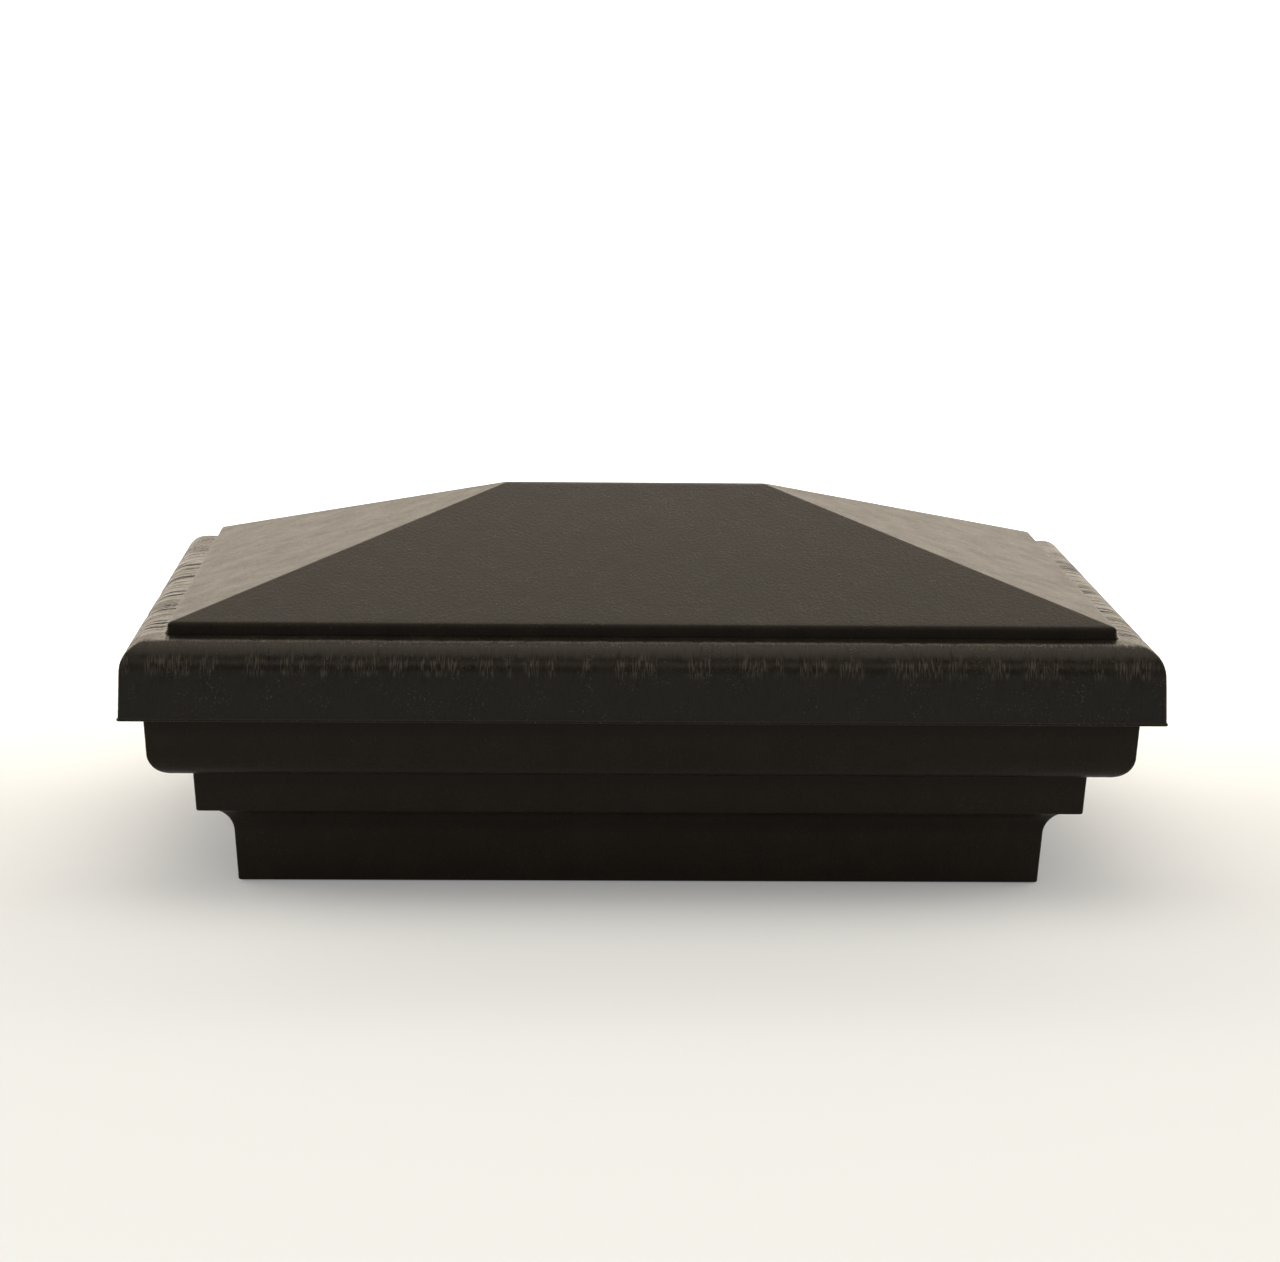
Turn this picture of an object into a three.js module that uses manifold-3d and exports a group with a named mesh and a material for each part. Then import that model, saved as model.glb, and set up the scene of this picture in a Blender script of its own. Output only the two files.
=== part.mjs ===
// Cap for a rectangular fence post: a cornice-like base moulding that sleeves over the end of the
// post, and a lift-off crown made of a grained brim frame and a smooth hipped roof panel.
// Millimetres. +X runs along the wide face of the post, +Z is up, and the origin is the centre of
// the cap's bottom rim. "Projection" always means a distance outwards from the faces of the post.

import * as THREE from 'three';
import { mergeVertices } from 'three/addons/utils/BufferGeometryUtils.js';
import Module from 'manifold-3d';

const wasm = await Module();
wasm.setup();

// ---------------------------------------------------------------- post and fits
const postWidth = 139.7;
const postDepth = 88.9;
const postClearance = 1.6;
const touchGap = 0.3;
const cutOverrun = 1;

// ---------------------------------------------------------------- base moulding, outside
const rimProjection = 6.65;
const fasciaHeight = 9.3;
const coveRadius = 5.7;
const filletLip = 0.95;
const filletHeight = 8.1;
const ovoloLip = 3;
const ovoloRadius = 4.9;
const ovoloFaceHeight = 7.2;
const baseDraft = THREE.MathUtils.degToRad(4);

// ---------------------------------------------------------------- base moulding, inside
const baseWall = 2.8;
const sleeveWall = 2.2;
const socketDepth = 24;
const deckThickness = 3;
const mouthChamfer = 1;
const troughFloor = 13.5;
const innerCornerRadius = 2.1;
const webThickness = 2;
const webRise = 9;
const webInset = 24;
const webPairSpacing = 60;
const crushRibRadius = 1.2;
const crushRibStart = 3;
const crushRibInset = 22;
const deckRibHeight = 3;

// ---------------------------------------------------------------- crown frame
const skirtLap = 0.5;
const brimOverhang = 4.38;
const brimFaceHeight = 9;
const shoulderRadius = 5.5;
const crownDraft = THREE.MathUtils.degToRad(3.5);
const crownWall = 3;
const rebateDepth = 0.8;
const ledgeWidth = 13;
const collarWidth = 2.2;
const collarHeight = 4;

// ---------------------------------------------------------------- roof panel
const roofInset = 3;
const stepHeight = 2.55;
const roofPitch = THREE.MathUtils.degToRad(16.6);
const roofWall = 2.6;
const roofRibThickness = 2;
const roofRibDepth = 4;

// ---------------------------------------------------------------- fastenings
const postScrewInset = 18;
const postScrewLength = 25;
const postScrewRadius = 2.1;
const postScrewHeadRadius = 4.2;
const postScrewHeadHeight = 2.6;
const postScrewTip = 4.5;
const postBossWall = 3.2;
const postBossHeight = 3;
const washerWidth = 3;
const washerThickness = 1.5;

const roofScrewRadius = 1.6;
const roofScrewLength = 7.7;
const roofScrewHeadRadius = 3.4;
const roofScrewHeadHeight = 2.2;
const roofScrewTip = 1;
const roofScrewInset = 6;
const roofScrewEndInset = 18;
const roofBossWall = 2.2;
const roofPilotRunout = 0.6;
const earMargin = 2.4;

const pegInset = 9.1;
const pegRadius = 3;
const pegLength = 15;
const pegTaper = 2;
const pegRootWall = 1.5;
const pegRootHeight = 2.6;
const grommetWall = 0.9;
const grommetLength = 6;
const grommetFlangeWidth = 1.6;
const grommetFlangeThickness = 1.4;
const pegSocketWall = 2;
const pegSocketDrop = 7.2;
const pegTipClearance = 3.2;

// Shape of a pan-head screw, as shares of its shank radius, head radius and head height.
const screwShape = {
  point: 0.3,
  cheekHeight: 0.5,
  domeRadius: 0.9,
  domeHeight: 0.8,
  crownRadius: 0.65,
  recessWidth: 1.2,
  recessDepth: 0.55,
  slotWidth: 0.25,
};

const arcSteps = 4;
const roundSteps = 16;

// ---------------------------------------------------------------- worked-out sizes
const halfWidth = postWidth / 2;
const halfDepth = postDepth / 2;

const fasciaTopProjection = rimProjection + fasciaHeight * Math.tan(baseDraft);
const coveCentre = fasciaTopProjection + coveRadius;
const coveTop = fasciaHeight + coveRadius;
const filletBottomProjection = coveCentre + filletLip;
const filletTopProjection = filletBottomProjection + filletHeight * Math.tan(baseDraft);
const filletTop = coveTop + filletHeight;
const ovoloCentre = filletTopProjection + ovoloLip;
const ovoloCentreHeight = filletTop + ovoloRadius;
const ovoloProjection = ovoloCentre + ovoloRadius;
const ovoloFaceTopProjection = ovoloProjection + ovoloFaceHeight * Math.tan(baseDraft);
const ovoloFaceTop = ovoloCentreHeight + ovoloFaceHeight;

const crownBottom = ovoloFaceTop - skirtLap;
const brimProjection = ovoloFaceTopProjection + brimOverhang;
const brimTopProjection = brimProjection - brimFaceHeight * Math.tan(crownDraft);
const shoulderCentre = brimTopProjection - shoulderRadius;
const shoulderCentreHeight = crownBottom + brimFaceHeight;
const ledgeTop = shoulderCentreHeight + shoulderRadius;
const ledgeUnderside = ledgeTop - crownWall;
const innerShoulderRadius = Math.max(shoulderRadius - crownWall, touchGap);
const rebateFloor = ledgeTop - rebateDepth;
const openingProjection = shoulderCentre - ledgeWidth;

const rimTop = ledgeUnderside - touchGap;
const rimInnerProjection = shoulderCentre - baseWall;
const socketProjection = postClearance;
const sleeveProjection = postClearance + sleeveWall;
const deckTop = socketDepth + deckThickness;
const deckBossTop = deckTop + postBossHeight;
const webTop = deckTop + webRise;

const roofProjection = shoulderCentre - roofInset;
const roofEdge = ledgeTop + stepHeight;
const roofRidge = roofEdge + (halfDepth + roofProjection) * Math.tan(roofPitch);
const panelUnderside = rebateFloor + touchGap;
const roofScrewTipHeight = rimTop + roofScrewLength;
const roofPilotTop = roofScrewTipHeight + roofPilotRunout;

const screwX = halfWidth - postScrewInset;
const screwY = halfDepth - postScrewInset;
const pegX = halfWidth + shoulderCentre - pegInset;
const pegY = halfDepth + shoulderCentre - pegInset;
const grommetBore = pegRadius + touchGap;
const pegSocketBore = grommetBore + grommetWall + touchGap;
const pegSocketTop = ledgeUnderside - pegSocketDrop;
const pegSocketFloor = ledgeUnderside - pegLength - pegTipClearance;
const roofScrewX = halfWidth - roofScrewEndInset;
const roofScrewY = halfDepth + openingProjection - roofScrewInset;
const roofScrewEndX = halfWidth + openingProjection - roofScrewInset;

// ---------------------------------------------------------------- solids and meshes

// Turns a closed three.js geometry into a manifold solid.
function solidFrom(geometry) {
  geometry.deleteAttribute('normal');
  geometry.deleteAttribute('uv');
  const merged = mergeVertices(geometry);
  const index = merged.index.array;
  const corners = [];
  for (let i = 0; i < index.length; i += 3) {
    const [a, b, c] = [index[i], index[i + 1], index[i + 2]];
    if (a !== b && b !== c && c !== a) corners.push(a, b, c);
  }
  const mesh = new wasm.Mesh({
    numProp: 3,
    vertProperties: Float32Array.from(merged.attributes.position.array),
    triVerts: Uint32Array.from(corners),
  });
  return new wasm.Manifold(mesh);
}

// Turns a manifold solid back into a three.js geometry.
function geometryFrom(solid) {
  const mesh = solid.getMesh();
  const geometry = new THREE.BufferGeometry();
  geometry.setAttribute('position', new THREE.BufferAttribute(mesh.vertProperties, 3));
  geometry.setIndex(new THREE.BufferAttribute(mesh.triVerts, 1));
  geometry.computeVertexNormals();
  return geometry;
}

function block(x0, x1, y0, y1, z0, z1) {
  const geometry = new THREE.BoxGeometry(x1 - x0, y1 - y0, z1 - z0);
  geometry.translate((x0 + x1) / 2, (y0 + y1) / 2, (z0 + z1) / 2);
  return solidFrom(geometry);
}

// A block centred on the cap's axis that reaches a given projection all round.
function centredBlock(projection, z0, z1) {
  const x = halfWidth + projection;
  const y = halfDepth + projection;
  return block(-x, x, -y, y, z0, z1);
}

function post(x, y, radius, z0, z1) {
  const geometry = new THREE.CylinderGeometry(radius, radius, z1 - z0, roundSteps);
  geometry.rotateX(Math.PI / 2);
  geometry.translate(x, y, (z0 + z1) / 2);
  return solidFrom(geometry);
}

// A turned solid standing on the Z axis, from a list of [radius, height] points.
function turned(profile) {
  const points = profile.map(([radius, height]) => new THREE.Vector2(radius, height));
  const geometry = new THREE.LatheGeometry(points, roundSteps);
  geometry.rotateX(Math.PI / 2);
  return solidFrom(geometry);
}

// The whole cross-section of a moulding, from a function that draws its right-hand side from the
// axis at the bottom to the axis at the top, given the half-width of the post.
function section(drawSide, half) {
  const side = new THREE.Path();
  drawSide(side, half);
  const right = side.getPoints(arcSteps);
  const left = right.slice(1, -1).reverse().map((point) => new THREE.Vector2(-point.x, point.y));
  return new THREE.Shape([...right, ...left]);
}

// A moulding that runs round the rectangular post with mitred corners.
function mitred(drawSide) {
  const reach = 2 * (halfWidth + brimProjection + cutOverrun);
  const options = { depth: reach, bevelEnabled: false };
  const acrossWidth = new THREE.ExtrudeGeometry(section(drawSide, halfWidth), options);
  acrossWidth.rotateX(Math.PI / 2);
  acrossWidth.translate(0, reach / 2, 0);
  const acrossDepth = new THREE.ExtrudeGeometry(section(drawSide, halfDepth), options);
  const turn = new THREE.Matrix4().makeBasis(
    new THREE.Vector3(0, 1, 0),
    new THREE.Vector3(0, 0, 1),
    new THREE.Vector3(1, 0, 0),
  );
  acrossDepth.applyMatrix4(turn);
  acrossDepth.translate(-reach / 2, 0, 0);
  return solidFrom(acrossWidth).intersect(solidFrom(acrossDepth));
}

function joined(solids) {
  return solids.reduce((whole, solid) => whole.add(solid));
}

// The four corner positions of a rectangle centred on the axis.
function corners(x, y) {
  return [[-x, -y], [x, -y], [x, y], [-x, y]];
}

// ---------------------------------------------------------------- outlines

function drawBaseOutside(path, half) {
  path.moveTo(0, 0);
  path.lineTo(half + rimProjection, 0);
  path.lineTo(half + fasciaTopProjection, fasciaHeight);
  path.absarc(half + coveCentre, fasciaHeight, coveRadius, Math.PI, Math.PI / 2, true);
  path.lineTo(half + filletBottomProjection, coveTop);
  path.lineTo(half + filletTopProjection, filletTop);
  path.lineTo(half + ovoloCentre, filletTop);
  path.absarc(half + ovoloCentre, ovoloCentreHeight, ovoloRadius, -Math.PI / 2, 0, false);
  path.lineTo(half + ovoloFaceTopProjection, ovoloFaceTop);
  path.lineTo(half + shoulderCentre, ovoloFaceTop);
  path.lineTo(half + shoulderCentre, rimTop);
  path.lineTo(0, rimTop);
}

// The open inside of the base moulding, before the post sleeve is put into it.
function drawBaseInside(path, half) {
  const radius = coveRadius + baseWall;
  const filletInner = filletBottomProjection - baseWall;
  const startAngle = Math.PI - Math.asin((troughFloor - fasciaHeight) / radius);
  const endAngle = Math.acos((filletInner - coveCentre) / radius);
  const shelf = filletTop + baseWall;
  const cornerCentre = rimInnerProjection - innerCornerRadius;
  path.moveTo(0, troughFloor);
  path.lineTo(half + coveCentre + radius * Math.cos(startAngle), troughFloor);
  path.absarc(half + coveCentre, fasciaHeight, radius, startAngle, endAngle, true);
  path.lineTo(half + filletInner, shelf);
  path.lineTo(half + cornerCentre, shelf);
  path.absarc(half + cornerCentre, shelf + innerCornerRadius, innerCornerRadius, -Math.PI / 2, 0, false);
  path.lineTo(half + rimInnerProjection, rimTop + cutOverrun);
  path.lineTo(0, rimTop + cutOverrun);
}

function drawPostSocket(path, half) {
  path.moveTo(0, -cutOverrun);
  path.lineTo(half + socketProjection + mouthChamfer + cutOverrun, -cutOverrun);
  path.lineTo(half + socketProjection, mouthChamfer);
  path.lineTo(half + socketProjection, socketDepth);
  path.lineTo(0, socketDepth);
}

function drawCrownOutside(path, half) {
  path.moveTo(0, crownBottom);
  path.lineTo(half + brimProjection, crownBottom);
  path.lineTo(half + brimTopProjection, shoulderCentreHeight);
  path.absarc(half + shoulderCentre, shoulderCentreHeight, shoulderRadius, 0, Math.PI / 2, false);
  path.lineTo(0, ledgeTop);
}

function drawCrownInside(path, half) {
  const slope = Math.tan(crownDraft);
  const skirtInside = shoulderCentre + innerShoulderRadius;
  const arcHeight = ledgeUnderside - innerShoulderRadius;
  const bottom = crownBottom - cutOverrun;
  path.moveTo(0, bottom);
  path.lineTo(half + skirtInside + (arcHeight - bottom) * slope, bottom);
  path.lineTo(half + skirtInside, arcHeight);
  path.absarc(half + shoulderCentre, arcHeight, innerShoulderRadius, 0, Math.PI / 2, false);
  path.lineTo(0, ledgeUnderside);
}

// The hipped roof as a solid block, lowered by a drop and pulled in by an inset.
function hippedBlock(drop, inset, bottom) {
  return mitred((path, half) => {
    const eaves = half + roofProjection - inset;
    const eavesHeight = roofEdge + inset * Math.tan(roofPitch) - drop;
    path.moveTo(0, bottom);
    path.lineTo(eaves, bottom);
    path.lineTo(eaves, eavesHeight);
    path.lineTo(0, eavesHeight + eaves * Math.tan(roofPitch));
  });
}

// ---------------------------------------------------------------- places of repeated pieces

const postScrewPlaces = corners(screwX, screwY);
const pegPlaces = corners(pegX, pegY);
const roofScrewPlaces = [
  ...corners(roofScrewX, roofScrewY),
  [-roofScrewEndX, 0],
  [roofScrewEndX, 0],
];

// ---------------------------------------------------------------- base moulding

// Upright webs in the trough between the post sleeve and the outer wall.
function troughWebs(outside) {
  const reachX = halfWidth + brimProjection;
  const reachY = halfDepth + brimProjection;
  const half = webThickness / 2;
  const webs = [];
  for (const x of [-webPairSpacing / 2, webPairSpacing / 2]) {
    webs.push(block(x - half, x + half, -reachY, reachY, troughFloor - cutOverrun, webTop));
  }
  for (const y of [-halfDepth + webInset, halfDepth - webInset]) {
    webs.push(block(-reachX, reachX, y - half, y + half, troughFloor - cutOverrun, webTop));
  }
  const aboveDeck = centredBlock(sleeveProjection, deckTop, webTop + cutOverrun);
  return joined(webs).intersect(outside).subtract(aboveDeck);
}

function pegSockets(outside) {
  const radius = pegSocketBore + pegSocketWall;
  const floor = troughFloor - cutOverrun;
  const tubes = pegPlaces.map(([x, y]) => post(x, y, radius, floor, pegSocketTop));
  return joined(tubes).intersect(outside);
}

function deckBosses() {
  const radius = postScrewRadius + touchGap + postBossWall;
  const half = webThickness / 2;
  const ribTop = deckTop + deckRibHeight;
  const pieces = postScrewPlaces.map(([x, y]) => post(x, y, radius, socketDepth, deckBossTop));
  for (const side of [-1, 1]) {
    const [x, y] = [side * screwX, side * screwY];
    pieces.push(block(-screwX, screwX, y - half, y + half, socketDepth, ribTop));
    pieces.push(block(x - half, x + half, -screwY, screwY, socketDepth, ribTop));
  }
  return joined(pieces);
}

// Half-round ribs on the socket walls that centre the post.
function crushRibs() {
  const wallX = halfWidth + socketProjection;
  const wallY = halfDepth + socketProjection;
  const ribX = halfWidth - crushRibInset;
  const ribY = halfDepth - crushRibInset;
  const places = [...corners(ribX, wallY), ...corners(wallX, ribY)];
  return joined(places.map(([x, y]) => post(x, y, crushRibRadius, crushRibStart, deckTop)));
}

function baseMoulding() {
  const outside = mitred(drawBaseOutside);
  const screwHole = postScrewRadius + touchGap;
  const sleeve = centredBlock(sleeveProjection, troughFloor - cutOverrun, deckTop);
  let solid = outside.subtract(mitred(drawBaseInside)).add(sleeve);
  solid = solid.add(troughWebs(outside)).add(pegSockets(outside)).add(deckBosses());
  solid = solid.subtract(mitred(drawPostSocket)).add(crushRibs());
  for (const [x, y] of postScrewPlaces) {
    solid = solid.subtract(post(x, y, screwHole, socketDepth - cutOverrun, deckBossTop + cutOverrun));
  }
  for (const [x, y] of pegPlaces) {
    solid = solid.subtract(post(x, y, pegSocketBore, pegSocketFloor, pegSocketTop + cutOverrun));
  }
  return solid;
}

// ---------------------------------------------------------------- crown frame

// One peg with its wider root, hanging from the ledge.
function peg(x, y) {
  const tip = ledgeUnderside - pegLength;
  const root = ledgeUnderside - pegRootHeight;
  const top = ledgeUnderside + crownWall / 2;
  const shaft = turned([
    [0, tip],
    [pegRadius - pegTaper / 2, tip],
    [pegRadius, tip + pegTaper],
    [pegRadius, root],
    [pegRadius + pegRootWall, root],
    [pegRadius + pegRootWall, top],
    [0, top],
  ]);
  return shaft.translate([x, y, 0]);
}

// A round-ended ear that carries one roof screw, reaching in from the edge of the ledge.
function screwEar(x, y) {
  const radius = roofScrewRadius + touchGap + earMargin + roofBossWall / 2;
  const [z0, z1] = [ledgeUnderside, rebateFloor];
  const reach = roofScrewInset + collarWidth;
  const alongX = y === 0;
  const outward = Math.sign(alongX ? x : y) * reach;
  const [x0, x1] = alongX ? [x, x + outward].sort((a, b) => a - b) : [x - radius, x + radius];
  const [y0, y1] = alongX ? [y - radius, y + radius] : [y, y + outward].sort((a, b) => a - b);
  return post(x, y, radius, z0, z1).add(block(x0, x1, y0, y1, z0, z1));
}

function crownFrame() {
  const opening = centredBlock(openingProjection, crownBottom, ledgeTop + cutOverrun);
  const rebate = centredBlock(roofProjection + touchGap, rebateFloor, ledgeTop + cutOverrun);
  const collarBottom = ledgeUnderside - collarHeight;
  const collar = centredBlock(openingProjection + collarWidth, collarBottom, rebateFloor);
  let solid = mitred(drawCrownOutside).subtract(mitred(drawCrownInside));
  solid = solid.add(collar).subtract(opening).subtract(rebate);
  solid = solid.add(joined(roofScrewPlaces.map(([x, y]) => screwEar(x, y))));
  solid = solid.add(joined(pegPlaces.map(([x, y]) => peg(x, y))));
  const hole = roofScrewRadius + touchGap;
  for (const [x, y] of roofScrewPlaces) {
    solid = solid.subtract(post(x, y, hole, collarBottom - cutOverrun, ledgeTop));
  }
  return solid;
}

// ---------------------------------------------------------------- roof panel

function roofRibs() {
  const half = roofRibThickness / 2;
  const hipX = halfWidth - halfDepth;
  const inside = hippedBlock(roofWall / 2, roofWall / 2, panelUnderside);
  const rim = roofWall + roofRibDepth;
  const below = hippedBlock(rim, rim, crownBottom);
  const [x, y] = [halfWidth + roofProjection, halfDepth + roofProjection];
  const plates = [block(-x, x, -half, half, panelUnderside, roofRidge)];
  for (const middle of [-hipX, hipX]) {
    plates.push(block(middle - half, middle + half, -y, y, panelUnderside, roofRidge));
  }
  return joined(plates).intersect(inside).subtract(below);
}

function roofPanel() {
  const outside = hippedBlock(0, 0, panelUnderside);
  const slopeWall = roofWall / Math.cos(roofPitch);
  const inside = hippedBlock(slopeWall, roofWall, panelUnderside - cutOverrun);
  const bossRadius = roofScrewRadius + touchGap + roofBossWall;
  const bosses = roofScrewPlaces.map(([x, y]) => post(x, y, bossRadius, panelUnderside, roofRidge));
  let solid = outside.subtract(inside).add(roofRibs());
  solid = solid.add(joined(bosses).intersect(outside));
  for (const [x, y] of roofScrewPlaces) {
    const pilot = roofScrewRadius + touchGap;
    solid = solid.subtract(post(x, y, pilot, panelUnderside - cutOverrun, roofPilotTop));
  }
  return solid;
}

// ---------------------------------------------------------------- small parts, each on the Z axis

// A cross-shaped driver recess, cut down from a height.
function crossRecess(width, depth, top) {
  const half = width / 2;
  const slot = half * screwShape.slotWidth;
  const [z0, z1] = [top - depth, top + cutOverrun];
  return block(-half, half, -slot, slot, z0, z1).add(block(-slot, slot, -half, half, z0, z1));
}

// A pan-head screw standing on its tip at height zero.
function panHeadScrew(radius, length, tip, headRadius, headHeight) {
  const top = length + headHeight;
  const body = turned([
    [0, 0],
    [radius * screwShape.point, 0],
    [radius, tip],
    [radius, length],
    [headRadius, length],
    [headRadius, length + headHeight * screwShape.cheekHeight],
    [headRadius * screwShape.domeRadius, length + headHeight * screwShape.domeHeight],
    [headRadius * screwShape.crownRadius, top],
    [0, top],
  ]);
  const recessDepth = headHeight * screwShape.recessDepth;
  return body.subtract(crossRecess(headRadius * screwShape.recessWidth, recessDepth, top));
}

function ring(innerRadius, outerRadius, height) {
  const bore = post(0, 0, innerRadius, -cutOverrun, height + cutOverrun);
  return post(0, 0, outerRadius, 0, height).subtract(bore);
}

// A rubber bush that hangs in a peg socket by its flange; height zero is the underside of the flange.
function grommet() {
  const outer = grommetBore + grommetWall;
  const body = post(0, 0, outer, -grommetLength, grommetFlangeThickness);
  const flange = post(0, 0, outer + grommetFlangeWidth, 0, grommetFlangeThickness);
  const top = grommetFlangeThickness + cutOverrun;
  return body.add(flange).subtract(post(0, 0, grommetBore, -grommetLength - cutOverrun, top));
}

// ---------------------------------------------------------------- materials

function material(color, roughness, metalness) {
  return new THREE.MeshStandardMaterial({ color, roughness, metalness });
}

const grainedPlastic = () => material('#2b2824', 0.5, 0);
const smoothPlastic = () => material('#2e2b26', 0.6, 0);
const basePlastic = () => material('#262320', 0.5, 0);
const steel = () => material('#b4b3ae', 0.35, 1);
const rubber = () => material('#161616', 0.85, 0);

// ---------------------------------------------------------------- assembly

function named(name, solid, finish, position = [0, 0, 0]) {
  const mesh = new THREE.Mesh(geometryFrom(solid), finish);
  mesh.name = name;
  mesh.position.set(...position);
  return mesh;
}

function baseGroup() {
  const group = new THREE.Group();
  group.add(named('base_moulding', baseMoulding(), basePlastic()));
  const tipHeight = socketDepth + touchGap;
  const washerHeight = tipHeight + postScrewLength - touchGap - washerThickness;
  const washerBore = postScrewRadius + touchGap;
  postScrewPlaces.forEach(([x, y], i) => {
    const screw = panHeadScrew(
      postScrewRadius, postScrewLength, postScrewTip, postScrewHeadRadius, postScrewHeadHeight);
    const washer = ring(washerBore, washerBore + washerWidth, washerThickness);
    group.add(named(`post_screw_${i + 1}`, screw, steel(), [x, y, tipHeight]));
    group.add(named(`seal_washer_${i + 1}`, washer, rubber(), [x, y, washerHeight]));
  });
  pegPlaces.forEach(([x, y], i) => {
    group.add(named(`peg_grommet_${i + 1}`, grommet(), rubber(), [x, y, pegSocketTop + touchGap]));
  });
  return group;
}

function crownGroup() {
  const group = new THREE.Group();
  group.add(named('crown_frame', crownFrame(), grainedPlastic()));
  group.add(named('roof_panel', roofPanel(), smoothPlastic()));
  roofScrewPlaces.forEach(([x, y], i) => {
    const screw = panHeadScrew(
      roofScrewRadius, roofScrewLength, roofScrewTip, roofScrewHeadRadius, roofScrewHeadHeight);
    const mesh = named(`roof_screw_${i + 1}`, screw, steel(), [x, y, roofScrewTipHeight]);
    mesh.rotation.x = Math.PI;
    group.add(mesh);
  });
  return group;
}

const cap = new THREE.Group();
cap.add(baseGroup(), crownGroup());

export default cap;
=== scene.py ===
import math

import bmesh
import bpy
import numpy as np
from mathutils import Matrix, Vector


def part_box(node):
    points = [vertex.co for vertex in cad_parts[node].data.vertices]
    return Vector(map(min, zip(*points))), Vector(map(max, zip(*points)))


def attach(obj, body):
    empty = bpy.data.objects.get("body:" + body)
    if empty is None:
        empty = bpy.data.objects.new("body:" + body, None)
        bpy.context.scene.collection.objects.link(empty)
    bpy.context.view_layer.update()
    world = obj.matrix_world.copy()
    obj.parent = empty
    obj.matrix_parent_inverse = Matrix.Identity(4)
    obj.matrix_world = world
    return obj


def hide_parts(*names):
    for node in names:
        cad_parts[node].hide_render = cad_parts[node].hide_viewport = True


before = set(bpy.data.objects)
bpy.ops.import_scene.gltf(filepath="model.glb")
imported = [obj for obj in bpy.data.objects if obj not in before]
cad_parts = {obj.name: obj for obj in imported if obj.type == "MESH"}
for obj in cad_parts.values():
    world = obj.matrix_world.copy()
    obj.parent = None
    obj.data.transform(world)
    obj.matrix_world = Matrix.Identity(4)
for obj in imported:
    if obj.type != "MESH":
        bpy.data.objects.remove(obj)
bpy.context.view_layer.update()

# Everything below is worked out in millimetres and scaled to metres when a piece is finished.
MM = 0.001


# ---------------------------------------------------------------- places read from the frame

def node_box(name):
    low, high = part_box(name)
    return np.array(low) / MM, np.array(high) / MM


def node_middle(name):
    low, high = node_box(name)
    return (low + high) / 2


crown_low, crown_high = node_box("crown_frame")
roof_low, roof_high = node_box("roof_panel")

POST_HALF = np.array([69.85, 44.45])
BRIM_OUT = crown_high[0] - POST_HALF[0]
LEDGE_TOP = crown_high[2]
ROOF_OUT = roof_high[0] - POST_HALF[0]
RIDGE_Z = roof_high[2]
PANEL_BOTTOM = roof_low[2]
RIM_TOP = node_box("base_moulding")[1][2]
CROWN_BOTTOM = 34.7

base_screws = [node_middle(f"post_screw_{i}") for i in range(1, 5)]
roof_screws = [node_middle(f"roof_screw_{i}") for i in range(1, 7)]
grommets = [node_middle(f"peg_grommet_{i}") for i in range(1, 5)]


# ---------------------------------------------------------------- smooth repeatable noise

def hashed(ix, iy, seed):
    """A number from 0 to 1 for each whole-number lattice point."""
    value = np.sin(ix * 127.1 + iy * 311.7 + seed * 74.7) * 43758.5453
    return value - np.floor(value)


def noise(u, v, seed):
    """Smooth value noise from 0 to 1 with one bump per unit."""
    iu, iv = np.floor(u), np.floor(v)
    fu, fv = u - iu, v - iv
    fu, fv = fu * fu * (3 - 2 * fu), fv * fv * (3 - 2 * fv)
    low = hashed(iu, iv, seed) * (1 - fu) + hashed(iu + 1, iv, seed) * fu
    high = hashed(iu, iv + 1, seed) * (1 - fu) + hashed(iu + 1, iv + 1, seed) * fu
    return low * (1 - fv) + high * fv


def smooth_step(low, high, value):
    t = np.clip((value - low) / (high - low), 0, 1)
    return t * t * (3 - 2 * t)


# ---------------------------------------------------------------- profiles swept round a rectangle

def rounded_profile(corners, spacing, arc_segments=5, closed=True):
    """Turns (projection, height, radius) corners into a list of points with rounded corners and
    straight stretches cut into lengths of at most the spacing."""
    points = []
    count = len(corners)
    for i in range(count):
        here = np.array(corners[i][:2])
        radius = corners[i][2]
        if radius <= 0 or (not closed and i in (0, count - 1)):
            points.append(here)
            continue
        before = np.array(corners[i - 1][:2])
        after = np.array(corners[(i + 1) % count][:2])
        arriving = (here - before) / np.linalg.norm(here - before)
        leaving = (after - here) / np.linalg.norm(after - here)
        turn = math.acos(float(np.clip(arriving @ leaving, -1, 1)))
        if turn < 1e-3:
            points.append(here)
            continue
        tangent = radius * math.tan(turn / 2)
        start = here - arriving * tangent
        side = 1 if arriving[0] * leaving[1] - arriving[1] * leaving[0] > 0 else -1
        centre = start + side * radius * np.array([-arriving[1], arriving[0]])
        first = math.atan2(*(start - centre)[::-1])
        for step in range(arc_segments + 1):
            angle = first + side * turn * step / arc_segments
            points.append(centre + radius * np.array([math.cos(angle), math.sin(angle)]))
    dense = []
    stretches = len(points) if closed else len(points) - 1
    for i in range(stretches):
        point, following = points[i], points[(i + 1) % len(points)]
        length = np.linalg.norm(following - point)
        pieces = max(1, math.ceil(length / spacing(point, following)))
        for step in range(pieces):
            dense.append(point + (following - point) * step / pieces)
    if not closed:
        dense.append(points[-1])
    return np.array(dense)


def arc(centre_out, centre_z, radius, first, last, count):
    """Points of an arc, given in degrees, as (projection, height, radius) corners."""
    angles = np.radians(np.linspace(first, last, count))
    return [(centre_out + radius * math.cos(a), centre_z + radius * math.sin(a), 0) for a in angles]


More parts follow.
